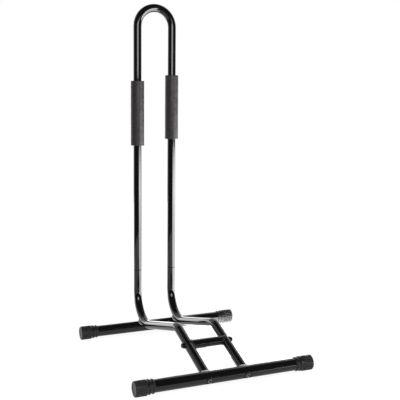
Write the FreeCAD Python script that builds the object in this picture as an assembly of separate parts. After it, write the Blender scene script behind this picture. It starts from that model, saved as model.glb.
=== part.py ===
import FreeCAD, Part
import math
import os
from FreeCAD import Placement, Rotation, Vector

# Floor rack for one bicycle. X runs along the two feet, Y from the front foot to the
# rear foot, Z up from the floor. The origin is on the floor, under the middle of the rack.

# ---------------------------------------------------------------- driving dimensions, mm

TUBE_R = 9.5              # hoop, side tubes and spacer, 19 mm outside diameter
TUBE_WALL = 1.4
FOOT_R = 12.7             # foot tubes, 25.4 mm outside diameter
FOOT_WALL = 1.5
FOOT_LENGTH = 382.0
FOOT_PITCH = 375.0        # from the front foot's axis to the rear foot's axis

CAP_R = 16.0              # ribbed rubber caps on the feet
CAP_END_X = 195.0         # outer face of a cap
CAP_INNER_X = 155.0       # inner lip of a cap
CAP_FLAT = 0.5            # depth of the flat moulded under each cap
CAP_BODY_X = 171.0        # the ribbed body runs from here to the outer face
CAP_SHOULDER = 2.0        # its round inner edge
CAP_NOSE = 2.2            # fall of its round outer edge
CAP_WALL = 0.5            # rubber over the foot at the inner lip, thicker towards the body
CAP_TAPER = 0.04
CAP_LIPS = ((158.2, 1.9), (166.1, 2.6))     # middle and height of each thin ring
CAP_LIP_WIDTH = 2.2
CAP_LIP_EDGE = 0.6
RIB_COUNT = 24
RIB_GROOVE_WIDTH = 1.5
RIB_GROOVE_DEPTH = 0.7
RIB_FREE_ANGLE = 30.0     # no groove within this angle of the flat

UPRIGHT_SPACING = 87.0    # between the axes of the two uprights
TOE_IN = 1.5              # each side tube comes this much nearer to the middle at the front foot
UPRIGHT_SETBACK = 30.0    # uprights stand this far behind the rear foot's axis
JOINT_Z = 147.5           # seam between the side tubes and the hoop
HOOP_TOP_Z = 772.0        # axis of the hoop at its highest point

LOWER_BEND_R = 66.5       # bend of a side tube over the rear foot
CLIMB_ANGLE = 14.0        # slope of the run from the rear foot up to the hump, degrees
CLIMB_RUN = 166.5
HUMP_R = 28.5
DROP_ANGLE = 21.1         # slope of the run from the hump down to the front foot
FRONT_RISE = 0.8          # side tube's axis passes this far above the front foot's axis
SPACER_RUN = 101.8        # from the front foot's axis up the slope to the spacer

SPIGOT_LENGTH = 40.0      # reduced ends of the hoop, inside the side tubes
SPIGOT_CLEARANCE = 0.1
SPIGOT_ROOT = 1.0         # how far the spigot reaches up into the collar
COLLAR = 4.0              # height of the formed collar above the seam
SHOULDER_R = 1.4
RIM_ROUND = 0.6

FOAM_R = 16.0             # foam sleeves on the hoop's legs
FOAM_BORE_CLEARANCE = 0.1
FOAM_LENGTH = 153.0
FOAM_LEFT_Z = 448.5       # lower ends: the left sleeve sits lower than the right one
FOAM_RIGHT_Z = 463.5
FOAM_EDGE = 1.5

SCREW_R = 3.0             # M6 socket screws
SCREW_HOLE_R = 3.2
THREAD_CLEARANCE = 0.05
HEAD_R = 5.0
HEAD_EDGE = 0.8
FOOT_HEAD_HEIGHT = 3.0
SPACER_HEAD_HEIGHT = 4.5
FRONT_SHANK = 40.0
SPACER_SHANK = 36.0
REAR_SHANK_SHORT = 1.0    # a rear screw ends this far inside its rivet nut
SOCKET_R = 2.3            # corner radius of the hexagon socket
SOCKET_DEPTH = 2.0

DIMPLE_RIM_R = 10.0       # pressed seat of a foot screw: rim, floor and depth
DIMPLE_FLOOR_R = 7.25
DIMPLE_DEPTH = 3.2
DIMPLE_WALL = 1.0         # extra width of the pressed metal round the seat

SADDLE_THICKNESS = 2.2    # curved pads under the ends of tubes
SADDLE_R = 10.5
SADDLE_WRAP = 1.5
SADDLE_SKIRT = 4.0        # a front pad comes this near to the foot's axis
PLUG_LENGTH = 22.0        # threaded plugs inside tube ends
PLUG_CLEARANCE = 0.05
WASHER_R = 6.5
WASHER_THICKNESS = 1.2

NUT_FLANGE_R = 5.5        # blind rivet nuts in the side tubes, over the rear foot
NUT_FLANGE = 0.6
NUT_BODY_R = 4.35
NUT_BULGE_R = 5.2
NUT_BULGE_LOW = 4.2       # the upset bulge above the flange's outer face
NUT_BULGE_HIGH = 6.6
NUT_LENGTH = 10.5
NUT_HOLE_R = 4.4

# ---------------------------------------------------------------- worked-out dimensions

HALF = UPRIGHT_SPACING / 2.0
TUBE_BORE = TUBE_R - TUBE_WALL
FOOT_Z = CAP_R - CAP_FLAT
REAR_Y = (FOOT_PITCH + CAP_R - UPRIGHT_SETBACK - FOAM_R) / 2.0
FRONT_Y = REAR_Y - FOOT_PITCH
UPRIGHT_Y = REAR_Y + UPRIGHT_SETBACK
CLIMB = math.radians(CLIMB_ANGLE)
DROP = math.radians(DROP_ANGLE)
TOE = math.asin(TOE_IN / (UPRIGHT_Y - FRONT_Y))
SIDES = (("left", -1.0), ("right", 1.0))


def side_profile():
    """Key points (y, z) of a side tube's axis, and the height where its bend starts."""
    bend_y = UPRIGHT_Y - LOWER_BEND_R
    low_y = bend_y - LOWER_BEND_R * math.sin(CLIMB)
    crest_y = low_y - CLIMB_RUN * math.cos(CLIMB)
    hump_y = crest_y - HUMP_R * math.sin(CLIMB)
    fall_y = hump_y - HUMP_R * math.sin(DROP)
    low = -LOWER_BEND_R * math.cos(CLIMB)
    crest = low + CLIMB_RUN * math.sin(CLIMB)
    hump = crest - HUMP_R * math.cos(CLIMB)
    fall = hump + HUMP_R * math.cos(DROP)
    end = fall - (fall_y - FRONT_Y) * math.tan(DROP)
    start_z = FOOT_Z + FRONT_RISE / math.cos(DROP) - end
    half_turn = (math.pi / 2.0 + CLIMB) / 2.0
    half_hump = (CLIMB - DROP) / 2.0
    return {
        "bend_centre": (bend_y, start_z),
        "bend_start": (UPRIGHT_Y, start_z),
        "bend_mid": (bend_y + LOWER_BEND_R * math.cos(half_turn),
                     start_z - LOWER_BEND_R * math.sin(half_turn)),
        "bend_end": (low_y, start_z + low),
        "crest": (crest_y, start_z + crest),
        "hump_mid": (hump_y + HUMP_R * math.sin(half_hump),
                     start_z + hump + HUMP_R * math.cos(half_hump)),
        "fall": (fall_y, start_z + fall),
        "foot": (FRONT_Y, start_z + end),
    }


PROFILE = side_profile()


def in_plane(side, y, z):
    """Point of the upright plane that holds a side tube. It turns in towards the front."""
    reach = UPRIGHT_Y - y
    return Vector(side * (HALF - reach * math.sin(TOE)), UPRIGHT_Y - reach * math.cos(TOE), z)


def on_profile(name, side):
    y, z = PROFILE[name]
    return in_plane(side, y, z)


def up_slope(side):
    """Direction of a side tube's front run, from the front foot up to the hump."""
    level = math.cos(DROP)
    return Vector(side * math.sin(TOE) * level, math.cos(TOE) * level, math.sin(DROP))


def front_start(side):
    """Point of a side tube's axis that is nearest to the front foot's axis."""
    return in_plane(side, FRONT_Y - FRONT_RISE * math.sin(DROP),
                    FOOT_Z + FRONT_RISE * math.cos(DROP))


def spacer_point(side):
    return front_start(side) + up_slope(side) * SPACER_RUN


def rear_line(side):
    """Start on the rear foot's axis and direction towards the centre of the lower bend."""
    start = in_plane(side, REAR_Y, FOOT_Z)
    direction = (on_profile("bend_centre", side) - start).normalize()
    return start, direction


def rear_gap():
    """Distance from the rear foot's axis to the outside of the bend above it."""
    reach = on_profile("bend_centre", 0) - in_plane(0, REAR_Y, FOOT_Z)
    return reach.Length - LOWER_BEND_R - TUBE_R


# ---------------------------------------------------------------- shared shapes

def rod(start, direction, radius, low, high):
    """Cylinder along a line, between two distances from its start."""
    return Part.makeCylinder(radius, high - low, start + direction * low, direction)


def swept(edges, centre, normal, radius):
    """Round bar along joined lines and arcs, from a circle at the first line's start."""
    ring = Part.Wire(Part.Circle(centre, normal, radius).toShape())
    return Part.Wire(edges).makePipe(Part.Face(ring))


def bent_tube(edges, end):
    """Tube of the rack's main size whose first run is upright and starts at end."""
    up = Vector(0, 0, 1)
    return swept(edges, end, up, TUBE_R).cut(swept(edges, end, up, TUBE_BORE))


def turned(points, centre, axis, out):
    """Solid of revolution. Each point is (distance along the axis, radius)."""
    corners = [centre + axis * along + out * radius for along, radius in points]
    outline = Part.makePolygon(corners + corners[:1])
    return Part.Face(outline).revolve(centre, axis, 360)


def round_edges(shape, radius, wanted):
    return shape.makeFillet(radius, [edge for edge in shape.Edges if wanted(edge)])


def is_ring(edge, radius, z):
    """True for a whole level circle of that radius at that height."""
    curve = edge.Curve
    return (isinstance(curve, Part.Circle) and abs(curve.Radius - radius) < 0.01
            and abs(curve.Center.z - z) < 0.01)


def socket_screw(seat, direction, head_height, shank):
    """Cap screw whose head stands outside the seat and whose shank points along direction."""
    head = Part.makeCylinder(HEAD_R, head_height, Vector(0, 0, -head_height))
    head = round_edges(head, HEAD_EDGE, lambda edge: is_ring(edge, HEAD_R, -head_height))
    corners = [Vector(SOCKET_R * math.cos(math.radians(60 * i)),
                      SOCKET_R * math.sin(math.radians(60 * i)), -head_height) for i in range(7)]
    socket = Part.Face(Part.makePolygon(corners)).extrude(Vector(0, 0, SOCKET_DEPTH))
    screw = head.fuse(Part.makeCylinder(SCREW_R, shank)).cut(socket).removeSplitter()
    screw.Placement = Placement(seat, Rotation(Vector(0, 0, 1), direction))
    return screw


# ---------------------------------------------------------------- hoop and foam

def hoop_leg_end(x):
    """Reduced end of a leg: a rounded shoulder on the seam, and the spigot below it."""
    foot = Vector(x, UPRIGHT_Y, JOINT_Z)
    up = Vector(0, 0, 1)
    spigot_r = TUBE_BORE - SPIGOT_CLEARANCE
    shoulder = rod(foot, up, TUBE_R, 0, COLLAR)
    shoulder = round_edges(shoulder, SHOULDER_R, lambda edge: is_ring(edge, TUBE_R, JOINT_Z))
    spigot = rod(foot, up, spigot_r, -SPIGOT_LENGTH, SPIGOT_ROOT)
    bore = rod(foot, up, spigot_r - TUBE_WALL, -SPIGOT_LENGTH - 1, COLLAR + 1)
    counterbore = rod(foot, up, TUBE_BORE, TUBE_WALL, COLLAR + 1)
    return shoulder.fuse(spigot).cut(bore).cut(counterbore)


def hoop_tube():
    spring_z = HOOP_TOP_Z - HALF
    low_z = JOINT_Z + COLLAR
    left_low = Vector(-HALF, UPRIGHT_Y, low_z)
    left_high = Vector(-HALF, UPRIGHT_Y, spring_z)
    top = Vector(0, UPRIGHT_Y, HOOP_TOP_Z)
    right_high = Vector(HALF, UPRIGHT_Y, spring_z)
    right_low = Vector(HALF, UPRIGHT_Y, low_z)
    edges = [Part.LineSegment(left_low, left_high).toShape(),
             Part.Arc(left_high, top, right_high).toShape(),
             Part.LineSegment(right_high, right_low).toShape()]
    hoop = bent_tube(edges, left_low)
    for _, side in SIDES:
        hoop = hoop.fuse(hoop_leg_end(side * HALF))
    return hoop.removeSplitter()


def foam_sleeve(side):
    base_z = FOAM_LEFT_Z if side < 0 else FOAM_RIGHT_Z
    foot = Vector(side * HALF, UPRIGHT_Y, base_z)
    up = Vector(0, 0, 1)
    sleeve = rod(foot, up, FOAM_R, 0, FOAM_LENGTH)
    ends = (base_z, base_z + FOAM_LENGTH)
    sleeve = round_edges(sleeve, FOAM_EDGE,
                         lambda edge: any(is_ring(edge, FOAM_R, z) for z in ends))
    return sleeve.cut(rod(foot, up, TUBE_R + FOAM_BORE_CLEARANCE, -1, FOAM_LENGTH + 1))


# ---------------------------------------------------------------- side tubes

def seam_point(side):
    return Vector(side * HALF, UPRIGHT_Y, JOINT_Z)


def side_axis(side):
    """Axis of a side tube, from the seam down and forward to the front foot."""
    top = seam_point(side)
    point = {name: on_profile(name, side) for name in PROFILE}
    return [Part.LineSegment(top, point["bend_start"]).toShape(),
            Part.Arc(point["bend_start"], point["bend_mid"], point["bend_end"]).toShape(),
            Part.LineSegment(point["bend_end"], point["crest"]).toShape(),
            Part.Arc(point["crest"], point["hump_mid"], point["fall"]).toShape(),
            Part.LineSegment(point["fall"], point["foot"]).toShape()]


def side_solid(side):
    """Outer shape of a side tube without its bore, for fitting pads against it."""
    return swept(side_axis(side), seam_point(side), Vector(0, 0, 1), TUBE_R)


def front_cope():
    """Cylinder round the front foot that trims the side tubes' ends and their plugs."""
    start = Vector(-UPRIGHT_SPACING, FRONT_Y, FOOT_Z)
    return rod(start, Vector(1, 0, 0), FOOT_R + SADDLE_THICKNESS, 0, 2 * UPRIGHT_SPACING)


def side_tube(side):
    tube = bent_tube(side_axis(side), seam_point(side))
    tube = round_edges(tube, RIM_ROUND, lambda edge: is_ring(edge, TUBE_R, JOINT_Z))
    tube = tube.cut(front_cope())
    start, direction = rear_line(side)
    nut_hole = rod(start, direction, NUT_HOLE_R, FOOT_R, rear_gap() + TUBE_R / 2.0)
    across = rod(spacer_point(side), Vector(1, 0, 0), SCREW_HOLE_R, -2 * TUBE_R, 2 * TUBE_R)
    return tube.cut(nut_hole).cut(across)


# ---------------------------------------------------------------- feet and caps

def foot_start(y):
    return Vector(0, y, FOOT_Z)


def dimple(line_start, inward, seat, floor_r, rim_r, depth):
    """Cone of a pressed screw seat, from its floor out past the tube's surface."""
    outward = inward * -1
    floor = line_start + inward * seat
    spread = (rim_r - floor_r) / DIMPLE_DEPTH
    return Part.makeCone(floor_r, floor_r + spread * depth, depth, floor, outward)


def foot_tube(y, screw_lines):
    """Foot tube with a pressed seat and a pair of holes for each screw."""
    half = FOOT_LENGTH / 2.0
    solid = rod(foot_start(y), Vector(1, 0, 0), FOOT_R, -half, half)
    tube = solid.cut(rod(foot_start(y), Vector(1, 0, 0), FOOT_R - FOOT_WALL, -half - 1, half + 1))
    for start, inward, seat in screw_lines:
        cup = dimple(start, inward, seat + FOOT_WALL, DIMPLE_FLOOR_R + DIMPLE_WALL,
                     DIMPLE_RIM_R + DIMPLE_WALL, DIMPLE_DEPTH + FOOT_WALL).common(solid)
        tube = tube.fuse(cup)
    for start, inward, seat in screw_lines:
        hollow = dimple(start, inward, seat, DIMPLE_FLOOR_R, DIMPLE_RIM_R, 2 * DIMPLE_DEPTH)
        tube = tube.cut(hollow).cut(rod(start, inward, SCREW_HOLE_R, -2 * FOOT_R, 2 * FOOT_R))
    return tube.removeSplitter()


def front_screw_line(side):
    """Start, inward direction and seat distance of a front foot screw."""
    reach = math.sqrt(FOOT_R ** 2 - FRONT_RISE ** 2)
    return front_start(side), up_slope(side), DIMPLE_DEPTH - reach


def rear_screw_line(side):
    start, direction = rear_line(side)
    return start, direction, DIMPLE_DEPTH - FOOT_R


def cap_outline():
    """Outside of a cap from its inner lip to its outer face, as (x, radius)."""
    def sleeve(x):
        return x, FOOT_R + CAP_WALL + CAP_TAPER * (x - CAP_INNER_X)

    points = [(CAP_INNER_X, 0), sleeve(CAP_INNER_X)]
    for middle, height in CAP_LIPS:
        low = middle - CAP_LIP_WIDTH / 2.0
        high = middle + CAP_LIP_WIDTH / 2.0
        points += [sleeve(low - CAP_LIP_EDGE), (low, FOOT_R + height),
                   (high, FOOT_R + height), sleeve(high + CAP_LIP_EDGE)]
    points += [sleeve(CAP_BODY_X - CAP_SHOULDER), (CAP_BODY_X, CAP_R - CAP_SHOULDER / 8.0),
               (CAP_BODY_X + CAP_SHOULDER, CAP_R)]
    for angle in (0, 30, 60, 90):
        turn = math.radians(angle)
        points.append((CAP_END_X - CAP_NOSE * (1 - math.sin(turn)),
                       CAP_R - CAP_NOSE * (1 - math.cos(turn))))
    return points + [(CAP_END_X, 0)]


def foot_cap(y, side):
    """Rubber cap: closed outer end, ribbed body, two rings at the inner end, flat below."""
    centre = foot_start(y)
    axis = Vector(side, 0, 0)
    cap = turned(cap_outline(), centre, axis, Vector(0, 0, 1))
    cap = cap.cut(rod(centre, axis, FOOT_R, CAP_INNER_X - 1, FOOT_LENGTH / 2.0))
    slot = Part.makeBox(CAP_END_X - CAP_BODY_X, RIB_GROOVE_WIDTH, RIB_GROOVE_DEPTH + 1,
                        Vector(CAP_BODY_X, -RIB_GROOVE_WIDTH / 2.0, CAP_R - RIB_GROOVE_DEPTH))
    slots = []
    for i in range(RIB_COUNT):
        angle = 360.0 * i / RIB_COUNT
        if abs(angle - 180.0) < RIB_FREE_ANGLE:
            continue
        groove = slot.copy()
        groove.rotate(Vector(0, 0, 0), Vector(1, 0, 0), angle)
        if side < 0:
            groove = groove.mirror(Vector(0, 0, 0), Vector(1, 0, 0))
        groove.translate(centre)
        slots.append(groove)
    cap = cap.cut(slots)
    under = Part.makeBox(2 * CAP_END_X, 2 * CAP_R, CAP_R, Vector(-CAP_END_X, y - CAP_R, -CAP_R))
    return cap.cut(under).removeSplitter()


# ---------------------------------------------------------------- joints at the feet

def front_saddle(side):
    """Curved pad between the front foot and the trimmed end of a side tube."""
    start = front_start(side)
    pad = rod(start, up_slope(side), SADDLE_R, SADDLE_SKIRT, FOOT_R + 2 * SADDLE_THICKNESS)
    pad = pad.common(front_cope())
    pad = pad.cut(rod(foot_start(FRONT_Y), Vector(1, 0, 0), FOOT_R, -FOOT_LENGTH, FOOT_LENGTH))
    return pad.cut(rod(start, up_slope(side), SCREW_HOLE_R, 0, 2 * FOOT_R))


def front_plug(side):
    start = front_start(side)
    outer = FOOT_R + SADDLE_THICKNESS + PLUG_LENGTH
    plug = rod(start, up_slope(side), TUBE_BORE - PLUG_CLEARANCE, 0, outer).cut(front_cope())
    return plug.cut(rod(start, up_slope(side), SCREW_R + THREAD_CLEARANCE, 0, outer + 1))


def front_screw(side):
    start, inward, seat = front_screw_line(side)
    return socket_screw(start + inward * seat, inward, FOOT_HEAD_HEIGHT, FRONT_SHANK)


def rear_saddle(side):
    """Cradle between the rear foot and the bend of a side tube above it."""
    start, direction = rear_line(side)
    top = rear_gap() + SADDLE_WRAP
    pad = rod(start, direction, SADDLE_R, FOOT_R - SADDLE_WRAP, top)
    pad = pad.cut(rod(foot_start(REAR_Y), Vector(1, 0, 0), FOOT_R, -FOOT_LENGTH, FOOT_LENGTH))
    pad = pad.cut(side_solid(side))
    pocket = rod(start, direction, NUT_FLANGE_R + 0.2, rear_gap() - NUT_FLANGE, top + 1)
    return pad.cut(pocket).cut(rod(start, direction, SCREW_HOLE_R, 0, top + 1))


def rear_rivet_nut(side):
    start, direction = rear_line(side)
    wall = rear_gap()
    nut = rod(start, direction, NUT_FLANGE_R, wall - NUT_FLANGE, wall)
    nut = nut.fuse(rod(start, direction, NUT_BODY_R, wall - NUT_FLANGE, wall + NUT_LENGTH))
    nut = nut.fuse(rod(start, direction, NUT_BULGE_R, wall + NUT_BULGE_LOW, wall + NUT_BULGE_HIGH))
    return nut.cut(rod(start, direction, SCREW_R + THREAD_CLEARANCE, 0, 3 * FOOT_R)).removeSplitter()


def rear_screw(side):
    start, inward, seat = rear_screw_line(side)
    shank = rear_gap() + NUT_LENGTH - REAR_SHANK_SHORT - seat
    return socket_screw(start + inward * seat, inward, FOOT_HEAD_HEIGHT, shank)


# ---------------------------------------------------------------- spacer between the side tubes

def spacer_cope(side):
    """Cylinder round a side tube's slope that trims the spacer's end and its plug."""
    radius = TUBE_R + SADDLE_THICKNESS
    return rod(spacer_point(side), up_slope(side), radius, -2 * TUBE_R, 2 * TUBE_R)


def spacer_tube():
    centre = spacer_point(0)
    tube = rod(centre, Vector(1, 0, 0), TUBE_R, -HALF, HALF)
    tube = tube.cut(rod(centre, Vector(1, 0, 0), TUBE_BORE, -HALF, HALF))
    for _, side in SIDES:
        tube = tube.cut(spacer_cope(side))
    return tube


def spacer_plug(side):
    inward = Vector(-side, 0, 0)
    start = spacer_point(side)
    far = TUBE_R + SADDLE_THICKNESS + PLUG_LENGTH
    plug = rod(start, inward, TUBE_BORE - PLUG_CLEARANCE, 0, far).cut(spacer_cope(side))
    return plug.cut(rod(start, inward, SCREW_R + THREAD_CLEARANCE, 0, far + 1))


def spacer_saddle(side):
    inward = Vector(-side, 0, 0)
    start = spacer_point(side)
    pad = rod(start, inward, SADDLE_R, 0, 2 * TUBE_R).common(spacer_cope(side))
    pad = pad.cut(rod(start, up_slope(side), TUBE_R, -2 * TUBE_R, 2 * TUBE_R))
    return pad.cut(rod(start, inward, SCREW_HOLE_R, 0, 2 * TUBE_R))


def spacer_washer(side):
    """Shaped washer: flat under the screw's head, hollow against the side tube."""
    outward = Vector(side, 0, 0)
    start = spacer_point(side)
    washer = rod(start, outward, WASHER_R, TUBE_R / 2.0, TUBE_R + WASHER_THICKNESS)
    washer = washer.cut(rod(start, up_slope(side), TUBE_R, -2 * TUBE_R, 2 * TUBE_R))
    return washer.cut(rod(start, outward, SCREW_HOLE_R, 0, 2 * TUBE_R))


def spacer_screw(side):
    inward = Vector(-side, 0, 0)
    seat = spacer_point(side) - inward * (TUBE_R + WASHER_THICKNESS)
    return socket_screw(seat, inward, SPACER_HEAD_HEIGHT, SPACER_SHANK)


# ---------------------------------------------------------------- the whole rack

def build():
    front_lines = [front_screw_line(side) for _, side in SIDES]
    rear_lines = [rear_screw_line(side) for _, side in SIDES]
    nodes = {
        "hoop_tube": hoop_tube(),
        "front_foot_tube": foot_tube(FRONT_Y, front_lines),
        "rear_foot_tube": foot_tube(REAR_Y, rear_lines),
        "spacer_tube": spacer_tube(),
    }
    pairs = {
        "foam_sleeve": foam_sleeve,
        "side_tube": side_tube,
        "front_saddle": front_saddle,
        "front_plug": front_plug,
        "front_screw": front_screw,
        "rear_saddle": rear_saddle,
        "rear_rivet_nut": rear_rivet_nut,
        "rear_screw": rear_screw,
        "spacer_plug": spacer_plug,
        "spacer_saddle": spacer_saddle,
        "spacer_washer": spacer_washer,
        "spacer_screw": spacer_screw,
    }
    for name, side in SIDES:
        for node, make in pairs.items():
            nodes[node + "_" + name] = make(side)
        nodes["front_cap_" + name] = foot_cap(FRONT_Y, side)
        nodes["rear_cap_" + name] = foot_cap(REAR_Y, side)
    return nodes


def main():
    os.makedirs("parts", exist_ok=True)
    for node, shape in sorted(build().items()):
        box = shape.optimalBoundingBox()
        print("%-22s solids %d  valid %s  volume %9.1f  x %7.2f %7.2f  y %7.2f %7.2f  z %7.2f %7.2f"
              % (node, len(shape.Solids), shape.isValid(), shape.Volume,
                 box.XMin, box.XMax, box.YMin, box.YMax, box.ZMin, box.ZMax))
        shape.exportStep("parts/" + node + ".step")


main()
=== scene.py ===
import math

import bmesh
import bpy
from mathutils import Matrix, Vector, noise


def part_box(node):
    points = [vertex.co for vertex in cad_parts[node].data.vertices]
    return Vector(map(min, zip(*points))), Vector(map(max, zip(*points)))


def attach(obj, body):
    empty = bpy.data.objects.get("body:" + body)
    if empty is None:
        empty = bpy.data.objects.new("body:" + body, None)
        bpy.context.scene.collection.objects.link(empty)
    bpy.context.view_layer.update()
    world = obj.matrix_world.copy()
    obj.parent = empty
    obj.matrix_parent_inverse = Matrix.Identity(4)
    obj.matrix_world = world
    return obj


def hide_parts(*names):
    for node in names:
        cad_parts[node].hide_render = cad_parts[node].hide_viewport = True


# Looks of the floor bike rack. Lengths are in metres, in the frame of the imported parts.

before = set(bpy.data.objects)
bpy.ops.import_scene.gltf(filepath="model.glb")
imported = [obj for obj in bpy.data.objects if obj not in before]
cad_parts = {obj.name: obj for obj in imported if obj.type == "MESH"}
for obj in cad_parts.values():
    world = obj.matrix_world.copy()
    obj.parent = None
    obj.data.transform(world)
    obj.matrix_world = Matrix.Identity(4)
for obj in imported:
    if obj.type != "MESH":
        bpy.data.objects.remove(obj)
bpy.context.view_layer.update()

MM = 0.001
WHITE = (1.0, 1.0, 1.0, 1.0)

# ---------------------------------------------------------------- sizes shared with the solids

FOOT_R = 12.7 * MM
FOOT_Z = 15.5 * MM
FRONT_Y = -202.5 * MM
REAR_Y = 172.5 * MM

CAP_R = 16.0 * MM
CAP_CORE_R = 15.0 * MM        # bottom of the grooves between the ribs
CAP_INNER_X = 155.0 * MM
CAP_BODY_X = 171.0 * MM
CAP_END_X = 195.0 * MM
CAP_BORE_X = 191.0 * MM
RIB_PLACES = 24               # places for a rib round a cap; those over the flat stay empty
RIB_FREE_ANGLE = math.radians(37.0)
FLAT_ANGLE = math.radians(30.0)

FOAM_R = 16.0 * MM
FOAM_BORE_R = 9.6 * MM


# ---------------------------------------------------------------- putting things in the scene

def placed(name, data):
    """A new object for the data, linked into the scene."""
    thing = bpy.data.objects.new(name, data)
    bpy.context.scene.collection.objects.link(thing)
    return thing


def plain_mesh(name, shape):
    """Turn a bmesh into a mesh as it is, and free it."""
    mesh = bpy.data.meshes.new(name)
    shape.to_mesh(mesh)
    shape.free()
    return mesh


def bare_material(name):
    """A new material and its node tree, which is still empty."""
    material = bpy.data.materials.new(name)
    material.use_nodes = True
    material.node_tree.nodes.clear()
    return material, material.node_tree


def show_in_reflections_only(thing):
    """Hide a thing from every kind of ray but the glossy ones."""
    for ray in ("camera", "diffuse", "transmission", "volume_scatter", "shadow"):
        setattr(thing, "visible_" + ray, False)


# ---------------------------------------------------------------- building node trees

def link_nodes(tree, source, target):
    """Join two (node, socket) pairs. A socket is given by name or number."""
    tree.links.new(source[0].outputs[source[1]], target[0].inputs[target[1]])


def add_node(tree, kind, values=None, **settings):
    """A node with its settings, and numbers set straight on its own sockets."""
    node = tree.nodes.new(kind)
    for name, value in settings.items():
        setattr(node, name, value)
    for socket, value in (values or {}).items():
        node.inputs[socket].default_value = value
    return node


def new_group(name, kind, inputs, outputs):
    """A node group with named sockets. inputs are (name, type, default), outputs (name, type)."""
    tree = bpy.data.node_groups.new(name, kind)
    for label, socket, default in inputs:
        made = tree.interface.new_socket(name=label, in_out="INPUT", socket_type=socket)
        if default is not None:
            made.default_value = default
    for label, socket in outputs:
        tree.interface.new_socket(name=label, in_out="OUTPUT", socket_type=socket)
    return tree, tree.nodes.new("NodeGroupInput"), tree.nodes.new("NodeGroupOutput")


# ---------------------------------------------------------------- shared surface effects

def mottle_group():
    """Slow change between two colours over the surface, and the same change as a mask."""
    tree, given, result = new_group(
        "mottled_tone", "ShaderNodeTree",
        [("Dark", "NodeSocketColor", (0.0, 0.0, 0.0, 1.0)),
         ("Light", "NodeSocketColor", (1.0, 1.0, 1.0, 1.0)),
         ("Scale", "NodeSocketFloat", 60.0),
         ("Detail", "NodeSocketFloat", 4.0)],
        [("Color", "NodeSocketColor"), ("Mask", "NodeSocketFloat")])
    place = add_node(tree, "ShaderNodeTexCoord")
    cloud = add_node(tree, "ShaderNodeTexNoise", {"Roughness": 0.6})
    spread = add_node(tree, "ShaderNodeMapRange", {"From Min": 0.32, "From Max": 0.68})
    mix = add_node(tree, "ShaderNodeMix", data_type="RGBA")
    link_nodes(tree, (place, "Object"), (cloud, "Vector"))
    link_nodes(tree, (given, "Scale"), (cloud, "Scale"))
    link_nodes(tree, (given, "Detail"), (cloud, "Detail"))
    link_nodes(tree, (cloud, "Fac"), (spread, "Value"))
    link_nodes(tree, (spread, "Result"), (mix, "Factor"))
    link_nodes(tree, (given, "Dark"), (mix, 6))
    link_nodes(tree, (given, "Light"), (mix, 7))
    link_nodes(tree, (mix, 2), (result, "Color"))
    link_nodes(tree, (spread, "Result"), (result, "Mask"))
    return tree


def edge_wear_group():
    """Mask of edges, broken up by a cloud so that the wear is uneven."""
    tree, given, result = new_group(
        "edge_rub", "ShaderNodeTree",
        [("Amount", "NodeSocketFloat", 0.5), ("Scale", "NodeSocketFloat", 300.0)],
        [("Mask", "NodeSocketFloat")])
    place = add_node(tree, "ShaderNodeTexCoord")
    shape = add_node(tree, "ShaderNodeNewGeometry")
    rounded = add_node(tree, "ShaderNodeBevel", {"Radius": 0.7 * MM}, samples=4)
    same = add_node(tree, "ShaderNodeVectorMath", operation="DOT_PRODUCT")
    edge = add_node(tree, "ShaderNodeMapRange", {"From Min": 0.985, "From Max": 0.90})
    cloud = add_node(tree, "ShaderNodeTexNoise", {"Detail": 3.0})
    patch = add_node(tree, "ShaderNodeMapRange", {"From Min": 0.40, "From Max": 0.62})
    both = add_node(tree, "ShaderNodeMath", operation="MULTIPLY")
    scaled = add_node(tree, "ShaderNodeMath", operation="MULTIPLY", use_clamp=True)
    link_nodes(tree, (rounded, "Normal"), (same, 0))
    link_nodes(tree, (shape, "Normal"), (same, 1))
    link_nodes(tree, (same, "Value"), (edge, "Value"))
    link_nodes(tree, (place, "Object"), (cloud, "Vector"))
    link_nodes(tree, (given, "Scale"), (cloud, "Scale"))
    link_nodes(tree, (cloud, "Fac"), (patch, "Value"))
    link_nodes(tree, (edge, "Result"), (both, 0))
    link_nodes(tree, (patch, "Result"), (both, 1))
    link_nodes(tree, (both, "Value"), (scaled, 0))
    link_nodes(tree, (given, "Amount"), (scaled, 1))
    link_nodes(tree, (scaled, "Value"), (result, "Mask"))
    return tree


def grain_group():
    """Height of a fine even grain, from a cloud and small round cells."""
    tree, given, result = new_group(
        "fine_grain", "ShaderNodeTree",
        [("Scale", "NodeSocketFloat", 1000.0), ("Cells", "NodeSocketFloat", 0.0)],
        [("Height", "NodeSocketFloat")])
    place = add_node(tree, "ShaderNodeTexCoord")
    cloud = add_node(tree, "ShaderNodeTexNoise", {"Detail": 2.0})
    cells = add_node(tree, "ShaderNodeTexVoronoi", feature="SMOOTH_F1")
    mix = add_node(tree, "ShaderNodeMix", data_type="FLOAT")
    link_nodes(tree, (place, "Object"), (cloud, "Vector"))
    link_nodes(tree, (place, "Object"), (cells, "Vector"))
    link_nodes(tree, (given, "Scale"), (cloud, "Scale"))
    link_nodes(tree, (given, "Scale"), (cells, "Scale"))
    link_nodes(tree, (given, "Cells"), (mix, "Factor"))
    link_nodes(tree, (cloud, "Fac"), (mix, 2))
    link_nodes(tree, (cells, "Distance"), (mix, 3))
    link_nodes(tree, (mix, 0), (result, "Height"))
    return tree


MOTTLE = mottle_group()
EDGE_RUB = edge_wear_group()
GRAIN = grain_group()


# ---------------------------------------------------------------- materials

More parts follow.
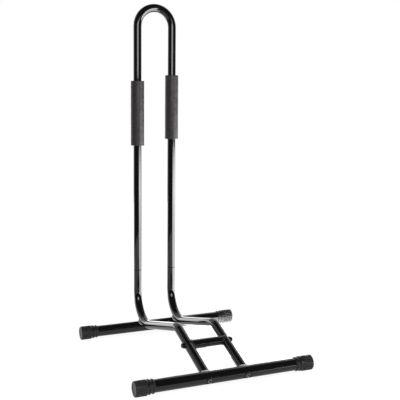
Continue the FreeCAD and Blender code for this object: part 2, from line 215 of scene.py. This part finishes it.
def surface(name, dark, light, tone_scale, rough, grain_scale, grain_depth, cells=0.0,
            worn=None, rub=0.5, rub_scale=300.0, rough_scale=90.0, fixed=None):
    """A finish: mottled colour, uneven roughness, fine grain, and rubbed edges in the worn colour.

    dark, light and worn are linear colours, rough is (smoothest, roughest), grain_depth is in
    metres, and fixed holds the shader's own constant values.
    """
    material = bpy.data.materials.new(name)
    material.use_nodes = True
    tree = material.node_tree
    shader = tree.nodes["Principled BSDF"]
    for socket, value in (fixed or {}).items():
        shader.inputs[socket].default_value = value
    tone = add_node(tree, "ShaderNodeGroup",
                    {"Dark": (*dark, 1.0), "Light": (*light, 1.0), "Scale": tone_scale,
                     "Detail": 4.0}, node_tree=MOTTLE)
    patches = add_node(tree, "ShaderNodeGroup", {"Scale": rough_scale, "Detail": 6.0},
                       node_tree=MOTTLE)
    rubbed = add_node(tree, "ShaderNodeGroup", {"Amount": rub, "Scale": rub_scale},
                      node_tree=EDGE_RUB)
    grain = add_node(tree, "ShaderNodeGroup", {"Scale": grain_scale, "Cells": cells},
                     node_tree=GRAIN)
    blend = add_node(tree, "ShaderNodeMix", data_type="RGBA")
    blend.inputs[7].default_value = (*(worn or light), 1.0)
    spread = add_node(tree, "ShaderNodeMapRange", {"To Min": rough[0], "To Max": rough[1]})
    bump = add_node(tree, "ShaderNodeBump", {"Strength": 1.0, "Distance": grain_depth})
    link_nodes(tree, (tone, "Color"), (blend, 6))
    link_nodes(tree, (rubbed, "Mask"), (blend, "Factor"))
    link_nodes(tree, (blend, 2), (shader, "Base Color"))
    link_nodes(tree, (patches, "Mask"), (spread, "Value"))
    link_nodes(tree, (spread, "Result"), (shader, "Roughness"))
    link_nodes(tree, (grain, "Height"), (bump, "Height"))
    link_nodes(tree, (bump, "Normal"), (shader, "Normal"))
    return material


PAINT = surface("gloss_black_paint", (0.0030, 0.0030, 0.0034), (0.0046, 0.0045, 0.0049), 40.0,
                (0.045, 0.085), 420.0, 0.000002, worn=(0.030, 0.030, 0.032), rub=0.5,
                fixed={"IOR": 1.50})
FOAM = surface("charcoal_foam", (0.031, 0.0272, 0.0282), (0.047, 0.0412, 0.0428), 220.0,
               (0.25, 0.33), 1500.0, 0.000008, cells=0.75, worn=(0.060, 0.056, 0.057), rub=0.6,
               rub_scale=900.0, fixed={"Specular IOR Level": 0.26})
RUBBER = surface("cap_rubber", (0.009, 0.009, 0.009), (0.016, 0.016, 0.016), 160.0,
                 (0.30, 0.42), 2600.0, 0.000008, worn=(0.050, 0.050, 0.050), rub=0.8,
                 rub_scale=500.0, fixed={"Specular IOR Level": 0.4})
PALE_PAD = surface("pale_pad", (0.44, 0.43, 0.40), (0.58, 0.57, 0.53), 300.0,
                   (0.38, 0.52), 1800.0, 0.00001, worn=(0.68, 0.67, 0.63))
PLUG = surface("plug_plastic", (0.008, 0.008, 0.008), (0.014, 0.014, 0.014), 200.0,
               (0.30, 0.45), 2000.0, 0.00001, worn=(0.04, 0.04, 0.04))
DARK_STEEL = surface("dark_steel", (0.10, 0.10, 0.105), (0.20, 0.20, 0.205), 420.0,
                     (0.24, 0.38), 2400.0, 0.000006, worn=(0.45, 0.45, 0.45), rub=0.7,
                     fixed={"Metallic": 1.0})
ZINC = surface("zinc_steel", (0.46, 0.46, 0.45), (0.66, 0.66, 0.64), 380.0,
               (0.26, 0.44), 1500.0, 0.00001, worn=(0.75, 0.75, 0.73), fixed={"Metallic": 1.0})
BLACK_SCREW = surface("black_screw", (0.020, 0.020, 0.021), (0.045, 0.045, 0.047), 420.0,
                      (0.30, 0.44), 2400.0, 0.000006, worn=(0.30, 0.30, 0.30), rub=0.5,
                      fixed={"Metallic": 1.0})

FINISH_OF_SLOT = {"black_paint": PAINT, "foam": FOAM, "cap_rubber": RUBBER, "pale_pad": PALE_PAD,
                  "plug_plastic": PLUG, "dark_steel": DARK_STEEL, "zinc_steel": ZINC}
for cad_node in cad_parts.values():
    for slot in cad_node.material_slots:
        slot.material = FINISH_OF_SLOT[slot.material.name]
# The spacer's fasteners are darker than the screws in the front foot.
for cad_name in ("spacer_screw_left", "spacer_screw_right",
                 "spacer_washer_left", "spacer_washer_right"):
    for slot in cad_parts[cad_name].material_slots:
        slot.material = BLACK_SCREW


# ---------------------------------------------------------------- mesh helpers

def mesh_object(name, mesh, body, slot, *nodes):
    """Put a finished mesh in the scene: it rides on a body and stands for the CAD nodes."""
    piece = placed(name, mesh)
    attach(piece, body)
    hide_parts(*nodes)
    return piece


def shell_of_rings(rings, steps, closed):
    """A bmesh skinned over rings of points.

    rings holds functions that take an angle and give a point, or Vectors for poles. When closed,
    the last ring joins the first one.
    """
    shape = bmesh.new()
    rows = []
    for ring in rings:
        if isinstance(ring, Vector):
            rows.append([shape.verts.new(ring)])
        else:
            rows.append([shape.verts.new(ring(2 * math.pi * i / steps)) for i in range(steps)])
    pairs = list(zip(rows, rows[1:]))
    if closed:
        pairs.append((rows[-1], rows[0]))
    for low, high in pairs:
        for i in range(steps):
            j = (i + 1) % steps
            if len(low) == 1:
                corners = [low[0], high[j], high[i]]
            elif len(high) == 1:
                corners = [low[i], low[j], high[0]]
            else:
                corners = [low[i], low[j], high[j], high[i]]
            shape.faces.new(corners)
    bmesh.ops.recalc_face_normals(shape, faces=shape.faces)
    return shape


def to_mesh(name, shape, material, sharp=math.radians(40.0)):
    """Turn a bmesh into a smooth mesh with its sharp edges kept."""
    for face in shape.faces:
        face.smooth = True
    for edge in shape.edges:
        if len(edge.link_faces) == 2 and edge.calc_face_angle(0.0) > sharp:
            edge.smooth = False
    mesh = plain_mesh(name, shape)
    mesh.materials.append(material)
    return mesh


# ---------------------------------------------------------------- foam sleeves

FOAM_STEPS = 128
FOAM_ROWS = 150
FOAM_EDGE = 1.3 * MM
FOAM_SWELL = 0.16 * MM        # how far the skin swells and sinks
FOAM_CUT = 0.30 * MM          # unevenness of the cut ends
FOAM_CUT_SHARES = (0.88, 0.78, 0.68)    # rows across a cut end, as shares of the radius
FOAM_BORE_ROWS = 8


def foam_mesh(name, node, seed):
    """A cut length of foam tube: soft skin, slightly uneven, with cut ends and a bore."""
    low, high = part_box(node)
    axis_x = (low.x + high.x) / 2.0
    axis_y = (low.y + high.y) / 2.0
    length = high.z - low.z
    drift = Vector((17.3 * seed, 5.1 * seed, 9.7 * seed))

    def ring(radius, z, lively, cut):
        def point(angle):
            side = Vector((math.cos(angle), math.sin(angle), 0.0))
            place = side * radius + Vector((0.0, 0.0, z))
            broad = noise.noise(place * 70.0 + drift)
            tight = noise.noise(place * 330.0 + drift)
            swell = FOAM_SWELL * (broad + 0.55 * tight) * lively
            ragged = FOAM_CUT * noise.noise(place * 210.0 - drift) * cut
            far = radius + swell - FOAM_SWELL * lively
            return Vector((axis_x + side.x * far, axis_y + side.y * far, low.z + z + ragged))
        return point

    rings = []
    end = FOAM_CUT
    span = length - 2.0 * (end + FOAM_EDGE)
    corner = [math.radians(a) for a in (0, 15, 30, 45, 60, 75, 90)]
    for turn in corner:
        rings.append(ring(FOAM_R - FOAM_EDGE * (1.0 - math.sin(turn)),
                          end + FOAM_EDGE * (1.0 - math.cos(turn)), math.sin(turn), 1.0))
    for row in range(1, FOAM_ROWS):
        share = row / FOAM_ROWS
        rings.append(ring(FOAM_R, end + FOAM_EDGE + share * span, 1.0, 0.0))
    for turn in reversed(corner):
        rings.append(ring(FOAM_R - FOAM_EDGE * (1.0 - math.sin(turn)),
                          length - end - FOAM_EDGE * (1.0 - math.cos(turn)), math.sin(turn), 1.0))
    for share in FOAM_CUT_SHARES:
        rings.append(ring(FOAM_R * share, length - end, 0.0, 1.0))
    for row in range(FOAM_BORE_ROWS + 1):
        share = row / FOAM_BORE_ROWS
        rings.append(ring(FOAM_BORE_R, length - end - share * (length - 2.0 * end), 0.0, 0.0))
    for share in reversed(FOAM_CUT_SHARES):
        rings.append(ring(FOAM_R * share, end, 0.0, 1.0))
    return to_mesh(name, shell_of_rings(rings, FOAM_STEPS, closed=True), FOAM)


for seed, side in enumerate(("left", "right"), start=1):
    node = "foam_sleeve_" + side
    sleeve = mesh_object("foam_grip_" + side, foam_mesh("foam_grip_" + side, node, seed),
                         "foam_" + side, "foam", node)


# ---------------------------------------------------------------- ribbed caps

def rib_tree():
    """Rounded ribs set round an axis along X, joined to the cap's plain body."""
    tree, given, result = new_group(
        "cap_ribs", "GeometryNodeTree",
        [("Geometry", "NodeSocketGeometry", None),
         ("Places", "NodeSocketInt", RIB_PLACES),
         ("Free Angle", "NodeSocketFloat", RIB_FREE_ANGLE),
         ("Length", "NodeSocketFloat", 0.02),
         ("Width", "NodeSocketFloat", 0.002),
         ("Height", "NodeSocketFloat", 0.002),
         ("Middle", "NodeSocketVector", (0.0, 0.0, 0.0)),
         ("Material", "NodeSocketMaterial", None)],
        [("Geometry", "NodeSocketGeometry")])
    size = add_node(tree, "ShaderNodeCombineXYZ")
    bar = add_node(tree, "GeometryNodeMeshCube",
                   {"Vertices X": 9, "Vertices Y": 3, "Vertices Z": 3})
    soft = add_node(tree, "GeometryNodeSubdivisionSurface", {"Level": 1})
    lifted = add_node(tree, "GeometryNodeTransform")
    places = add_node(tree, "GeometryNodePoints")
    index = add_node(tree, "GeometryNodeInputIndex")
    half = add_node(tree, "ShaderNodeMath", {1: 0.5}, operation="ADD")
    turn = add_node(tree, "ShaderNodeMath", {0: 2.0 * math.pi}, operation="DIVIDE")
    angle = add_node(tree, "ShaderNodeMath", operation="MULTIPLY")
    off = add_node(tree, "ShaderNodeMath", {1: math.pi}, operation="SUBTRACT")
    away = add_node(tree, "ShaderNodeMath", operation="ABSOLUTE")
    near = add_node(tree, "ShaderNodeMath", operation="LESS_THAN")
    kept = add_node(tree, "GeometryNodeDeleteGeometry", domain="POINT")
    spin = add_node(tree, "ShaderNodeCombineXYZ")
    ribs = add_node(tree, "GeometryNodeInstanceOnPoints")
    joined = add_node(tree, "GeometryNodeJoinGeometry")
    real = add_node(tree, "GeometryNodeRealizeInstances")
    smooth = add_node(tree, "GeometryNodeSetShadeSmooth")
    paint = add_node(tree, "GeometryNodeSetMaterial")
    for source, target in (
            ((given, "Length"), (size, "X")), ((given, "Width"), (size, "Y")),
            ((given, "Height"), (size, "Z")), ((size, "Vector"), (bar, "Size")),
            ((bar, "Mesh"), (soft, "Mesh")), ((soft, "Mesh"), (smooth, "Geometry")),
            ((smooth, "Geometry"), (lifted, "Geometry")),
            ((given, "Middle"), (lifted, "Translation")),
            ((given, "Places"), (places, "Count")), ((index, "Index"), (half, 0)),
            ((given, "Places"), (turn, 1)), ((turn, "Value"), (angle, 0)),
            ((half, "Value"), (angle, 1)), ((angle, "Value"), (off, 0)),
            ((off, "Value"), (away, 0)), ((away, "Value"), (near, 0)),
            ((given, "Free Angle"), (near, 1)), ((places, 0), (kept, "Geometry")),
            ((near, "Value"), (kept, "Selection")), ((angle, "Value"), (spin, "X")),
            ((kept, "Geometry"), (ribs, "Points")), ((lifted, "Geometry"), (ribs, "Instance")),
            ((spin, "Vector"), (ribs, "Rotation")), ((ribs, "Instances"), (joined, "Geometry")),
            ((given, "Geometry"), (joined, "Geometry")), ((joined, "Geometry"), (real, "Geometry")),
            ((real, "Geometry"), (paint, "Geometry")), ((given, "Material"), (paint, "Material")),
            ((paint, "Geometry"), (result, "Geometry"))):
        link_nodes(tree, source, target)
    return tree


def grown_mesh(name, mesh, tree, values):
    """Run a geometry tree once on a mesh and return the plain mesh that it makes."""
    carrier = placed(name + "_carrier", mesh)
    modifier = carrier.modifiers.new("grow", "NODES")
    modifier.node_group = tree
    for item in tree.interface.items_tree:
        if item.in_out == "INPUT" and item.name in values:
            modifier[item.identifier] = values[item.name]
    bpy.context.view_layer.update()
    seen = carrier.evaluated_get(bpy.context.evaluated_depsgraph_get())
    result = bpy.data.meshes.new_from_object(seen)
    result.name = name
    carrier.modifiers.clear()
    bpy.data.objects.remove(carrier)
    return result


CAP_STEPS = 96
COLLAR_WALL = 0.5 * MM        # thickness of the collar at its mouth
COLLAR_TAPER = 0.04
COLLAR_RINGS = ((158.2 * MM, 1.9 * MM), (166.1 * MM, 2.6 * MM))    # place, height over the tube
RING_FOOT = 1.9 * MM          # half the width of a ring at its foot
RING_HALF = 1.25 * MM
CAP_NOSE = 2.2 * MM           # rounding of the closed end
RIB_WIDTH = 2.6 * MM
RIB_HEIGHT = 3.2 * MM
RIBS = rib_tree()


def cap_profile():
    """Plain body of a cap as (x, radius), from the bore's bottom out to the closed face."""
    def collar(x):
        return x, FOOT_R + COLLAR_WALL + COLLAR_TAPER * (x - CAP_INNER_X)

    points = [(CAP_BORE_X, 0.0), (CAP_BORE_X, FOOT_R * 0.5), (CAP_BORE_X, FOOT_R),
              (CAP_INNER_X + 4 * MM, FOOT_R), (CAP_INNER_X, FOOT_R),
              (CAP_INNER_X, FOOT_R + 0.35 * MM), (CAP_INNER_X + 0.2 * MM, FOOT_R + COLLAR_WALL)]
    for middle, height in COLLAR_RINGS:
        points.append(collar(middle - RING_FOOT))
        for step in range(7):
            turn = math.pi * step / 6.0
            along = middle - RING_HALF * math.cos(turn)
            base = collar(along)[1]
            points.append((along, base + (FOOT_R + height - base) * math.sin(turn) ** 0.6))
        points.append(collar(middle + RING_FOOT))
    points += [(CAP_BODY_X - 1.6 * MM, FOOT_R + 1.2 * MM),
               (CAP_BODY_X - 0.9 * MM, CAP_CORE_R - 0.7 * MM),
               (CAP_BODY_X + 0.2 * MM, CAP_CORE_R - 0.1 * MM), (CAP_BODY_X + 1.4 * MM, CAP_CORE_R)]
    for degrees in (0, 18, 36, 54, 72, 90):
        turn = math.radians(degrees)
        points.append((CAP_END_X - CAP_NOSE * (1 - math.sin(turn)),
                       CAP_CORE_R - CAP_NOSE * (1 - math.cos(turn))))
    points += [(CAP_END_X, 10.0 * MM), (CAP_END_X - 0.15 * MM, 9.4 * MM),
               (CAP_END_X - 0.5 * MM, 9.0 * MM), (CAP_END_X - 0.6 * MM, 8.4 * MM),
               (CAP_END_X - 0.6 * MM, 4.0 * MM), (CAP_END_X - 0.6 * MM, 0.0)]
    return points


def cap_mesh(name, side, y):
    """Ribbed rubber cap: body with two rings and a dished face, ribs, and a flat underneath."""
    def ring(x, radius):
        def point(angle):
            far = radius
            if x > CAP_BODY_X and radius > CAP_CORE_R * 0.9 and abs(angle - math.pi) < FLAT_ANGLE:
                far = radius + CAP_R - CAP_CORE_R
            up = max(far * math.cos(angle), -FOOT_Z)
            return Vector((side * x, far * math.sin(angle), up))
        return point

    rings = []
    for x, radius in cap_profile():
        rings.append(Vector((side * x, 0.0, 0.0)) if radius == 0.0 else ring(x, radius))
    body = to_mesh(name, shell_of_rings(rings, CAP_STEPS, closed=False), RUBBER)
    rib_start = CAP_BODY_X + 0.1 * MM
    rib_end = CAP_END_X - 0.7 * MM
    middle = (side * (rib_start + rib_end) / 2.0, 0.0, CAP_R - RIB_HEIGHT / 2.0)
    mesh = grown_mesh(name, body, RIBS, {
        "Places": RIB_PLACES, "Free Angle": RIB_FREE_ANGLE, "Length": rib_end - rib_start,
        "Width": RIB_WIDTH, "Height": RIB_HEIGHT, "Middle": middle, "Material": RUBBER})
    mesh.transform(Matrix.Translation((0.0, y, FOOT_Z)))
    return mesh


for row, y in (("front", FRONT_Y), ("rear", REAR_Y)):
    for side_name, side in (("left", -1.0), ("right", 1.0)):
        name = row + "_grip_cap_" + side_name
        mesh_object(name, cap_mesh(name, side, y), "base", "cap_rubber",
                    row + "_cap_" + side_name)


# ---------------------------------------------------------------- camera

CAMERA_PLACE = Vector((-0.64336, -1.48816, 0.55071))
CAMERA_HEADING = 0.424550     # turned from +Y towards +X
CAMERA_DIP = 0.118595         # looks down by this much
CAMERA_ROLL = 0.009344
FOCAL_PIXELS = 750.034
FRAME_PIXELS = 400.0
CENTRE_X = 199.957            # where the lens axis meets the frame
CENTRE_Y = 192.415
SENSOR = 36.0


def add_camera():
    """The camera, from its place, its three turns and where its axis meets the frame."""
    forward = Vector((math.sin(CAMERA_HEADING) * math.cos(CAMERA_DIP),
                      math.cos(CAMERA_HEADING) * math.cos(CAMERA_DIP), -math.sin(CAMERA_DIP)))
    level = Vector((math.cos(CAMERA_HEADING), -math.sin(CAMERA_HEADING), 0.0))
    above = level.cross(forward)
    right = level * math.cos(CAMERA_ROLL) + above * math.sin(CAMERA_ROLL)
    up = above * math.cos(CAMERA_ROLL) - level * math.sin(CAMERA_ROLL)
    lens = bpy.data.cameras.new("view")
    lens.sensor_width = SENSOR
    lens.lens = FOCAL_PIXELS / FRAME_PIXELS * SENSOR
    lens.shift_x = (FRAME_PIXELS / 2.0 - CENTRE_X) / FRAME_PIXELS
    lens.shift_y = (CENTRE_Y - FRAME_PIXELS / 2.0) / FRAME_PIXELS
    lens.clip_start = 0.05
    lens.clip_end = 30.0
    camera = placed("view", lens)
    turned = Matrix((right, up, -forward)).transposed().to_4x4()
    camera.matrix_world = Matrix.Translation(CAMERA_PLACE) @ turned
    bpy.context.scene.camera = camera


add_camera()


# ---------------------------------------------------------------- floor, surroundings and lamps

WORLD_LIGHT = 0.55            # strength of the white world as a lamp
FLOOR_RADIUS = 1.15
FLOOR_TONE = (0.86, 0.86, 0.86, 1.0)
FLOOR_GLOW = 1.19             # with the share below, the seen floor comes out white
FLOOR_GLOW_SHARE = 0.75
FLOOR_MIRRORED = 0.55         # how much of that glow reflections see
SCREEN_RADIUS = 9.0
SCREEN_OPEN = (58.0, 55.0)    # degrees to each side of the view, and up, where it is open
SCREEN_SIDE = (95.0, 46.0)    # the same for the paler painted reflection at the left
# glow of the shell: a painted dark reflection, and a paler painted reflection at the left
PAINTED_REFLECTION_GLOWS = (("painted_dark_reflection", 0.06), ("painted_pale_reflection", 0.70))
GROUND_LIFT = 2.0 * MM        # lit ground lies just over the floor


def background_rays(tree, mirrored=1.0):
    """1 for what the camera and clear parts see, mirrored for reflections, 0 for lighting rays."""
    path = add_node(tree, "ShaderNodeLightPath")
    weaker = add_node(tree, "ShaderNodeMath", {1: mirrored}, operation="MULTIPLY")
    glossy = add_node(tree, "ShaderNodeMath", operation="MAXIMUM")
    through = add_node(tree, "ShaderNodeMath", operation="MAXIMUM")
    link_nodes(tree, (path, "Is Glossy Ray"), (weaker, 0))
    link_nodes(tree, (path, "Is Camera Ray"), (glossy, 0))
    link_nodes(tree, (weaker, "Value"), (glossy, 1))
    link_nodes(tree, (glossy, "Value"), (through, 0))
    link_nodes(tree, (path, "Is Transmission Ray"), (through, 1))
    return through


def set_world():
    """A white world: at full strength where it is seen, and weaker as a lamp."""
    world = bpy.data.worlds.new("studio")
    bpy.context.scene.world = world
    world.use_nodes = True
    tree = world.node_tree
    tree.nodes.clear()
    seen = add_node(tree, "ShaderNodeBackground", {"Color": WHITE, "Strength": 1.0})
    light = add_node(tree, "ShaderNodeBackground", {"Color": WHITE, "Strength": WORLD_LIGHT})
    mix = add_node(tree, "ShaderNodeMixShader")
    out = add_node(tree, "ShaderNodeOutputWorld")
    link_nodes(tree, (background_rays(tree), "Value"), (mix, 0))
    link_nodes(tree, (light, 0), (mix, 1))
    link_nodes(tree, (seen, 0), (mix, 2))
    link_nodes(tree, (mix, 0), (out, "Surface"))


def add_floor():
    """A round pale floor. What is seen of it is white, and it keeps the rack's soft shadow."""
    shape = bmesh.new()
    bmesh.ops.create_circle(shape, cap_ends=True, radius=FLOOR_RADIUS, segments=96)
    mesh = plain_mesh("floor", shape)
    material, tree = bare_material("floor_white")
    matt = add_node(tree, "ShaderNodeBsdfDiffuse", {"Color": FLOOR_TONE})
    white = add_node(tree, "ShaderNodeEmission", {"Color": WHITE, "Strength": FLOOR_GLOW})
    share = add_node(tree, "ShaderNodeMath", {1: FLOOR_GLOW_SHARE}, operation="MULTIPLY")
    mix = add_node(tree, "ShaderNodeMixShader")
    out = add_node(tree, "ShaderNodeOutputMaterial")
    link_nodes(tree, (background_rays(tree, FLOOR_MIRRORED), "Value"), (share, 0))
    link_nodes(tree, (share, "Value"), (mix, 0))
    link_nodes(tree, (matt, 0), (mix, 1))
    link_nodes(tree, (white, 0), (mix, 2))
    link_nodes(tree, (mix, 0), (out, "Surface"))
    mesh.materials.append(material)
    floor = placed("floor", mesh)


def add_painted_reflection_shell():
    """Glowing shell round the front and sides and overhead, open behind, that only reflections see:
    painted dark reflections, paler at the left.
    """
    shape = bmesh.new()
    bmesh.ops.create_uvsphere(shape, u_segments=72, v_segments=36, radius=SCREEN_RADIUS)
    open_way = Vector((math.sin(CAMERA_HEADING), math.cos(CAMERA_HEADING)))
    left_way = Vector((-open_way.y, open_way.x))
    gone = []
    for face in shape.faces:
        middle = face.calc_center_median()
        level = Vector((middle.x, middle.y))
        height = math.degrees(math.atan2(middle.z, level.length))
        apart = math.degrees(math.acos(level.normalized().dot(open_way)))
        if apart < SCREEN_OPEN[0] and height < SCREEN_OPEN[1]:
            gone.append(face)
        elif (apart < SCREEN_SIDE[0] and height < SCREEN_SIDE[1]
              and level.dot(left_way) > 0.0):
            face.material_index = 1
    bmesh.ops.delete(shape, geom=gone, context="FACES")
    mesh = plain_mesh("painted_reflection_shell", shape)
    for name, strength in PAINTED_REFLECTION_GLOWS:
        # each glow is a painted reflection, dark all round and paler at the left
        material, tree = bare_material(name)
        dim = add_node(tree, "ShaderNodeEmission", {"Color": WHITE, "Strength": strength})
        out = add_node(tree, "ShaderNodeOutputMaterial")
        link_nodes(tree, (dim, 0), (out, "Surface"))
        mesh.materials.append(material)
    screen = placed("painted_reflection_shell", mesh)
    show_in_reflections_only(screen)


def add_panel(name, middle, aim, width, height, radiance, matt=True, gloss=True):
    """Soft rectangular lamp of a stated radiance, at middle and turned to face aim.

    matt and gloss say whether matt surfaces and reflections see it.
    """
    lamp = bpy.data.lights.new(name, "AREA")
    lamp.shape = "RECTANGLE"
    lamp.size = width
    lamp.size_y = height
    lamp.energy = radiance * math.pi * width * height
    panel = placed(name, lamp)
    toward = (Vector(aim) - Vector(middle)).normalized()
    panel.matrix_world = (Matrix.Translation(middle)
                          @ toward.to_track_quat("-Z", "Y").to_matrix().to_4x4())
    panel.visible_camera = False
    panel.visible_diffuse = matt
    panel.visible_glossy = gloss


def add_lit_ground(name, outline, radiance, rise=()):
    """Brightly lit ground beside or behind the rack. Only the tubes' reflections see it.

    outline holds (x, y) corners on the floor, radiance is (distance, value) steps from the middle
    of the rack, and rise holds (x, y, z) corners of a low upright screen.
    """
    shape = bmesh.new()
    shape.faces.new([shape.verts.new((x, y, GROUND_LIFT)) for x, y in outline])
    if rise:
        shape.faces.new([shape.verts.new(corner) for corner in rise])
    mesh = plain_mesh(name, shape)
    material, tree = bare_material(name)
    place = add_node(tree, "ShaderNodeTexCoord")
    reach = add_node(tree, "ShaderNodeVectorMath", operation="LENGTH")
    glow = add_node(tree, "ShaderNodeEmission", {"Color": WHITE})
    out = add_node(tree, "ShaderNodeOutputMaterial")
    link_nodes(tree, (place, "Object"), (reach, 0))
    last = None
    for (near, low), (far, high) in zip(radiance, radiance[1:]):
        step = add_node(tree, "ShaderNodeMapRange",
                        {"From Min": near, "From Max": far, "To Min": 0.0, "To Max": high - low})
        total = add_node(tree, "ShaderNodeMath", {1: low if last is None else 0.0}, operation="ADD")
        link_nodes(tree, (reach, "Value"), (step, "Value"))
        link_nodes(tree, (step, "Result"), (total, 0))
        if last is not None:
            link_nodes(tree, (last, "Value"), (total, 1))
        last = total
    link_nodes(tree, (last, "Value"), (glow, "Strength"))
    link_nodes(tree, (glow, 0), (out, "Surface"))
    mesh.materials.append(material)
    ground = placed(name, mesh)
    show_in_reflections_only(ground)


set_world()
add_floor()
# painted dark reflections round the front, sides and overhead, seen only in the tubes
add_painted_reflection_shell()
add_lit_ground("lit_ground_right", [(0.06, 0.165), (0.02, -0.09), (0.21, -0.10), (0.30, -0.20),
                                    (0.38, -0.74), (0.93, -2.35), (2.45, -6.7), (7.5, -6.7),
                                    (7.5, 1.6), (0.40, 0.30), (0.30, 0.165)],
               [(0.1, 5.0), (0.24, 10.0), (1.2, 10.0), (2.8, 14.0), (7.0, 6.5)])
add_lit_ground("lit_ground_back", [(-0.75, 0.45), (0.30, 0.45), (0.30, 0.86), (-0.75, 0.86)],
               [(0.4, 3.0), (1.2, 3.0)],
               [(-0.75, 0.86, 0.0), (0.30, 0.86, 0.0), (0.30, 0.86, 0.22), (-0.75, 0.86, 0.22)])
add_panel("front_box", (-0.37, -1.95, 0.95), (0.0, 0.2, 0.6), 1.70, 0.54, 6.0)
add_panel("side_box", (1.5, -1.2, 0.25), (0.0, 0.1, 0.3), 1.2, 0.5, 4.0, gloss=False)

bpy.context.scene.view_settings.view_transform = "Standard"
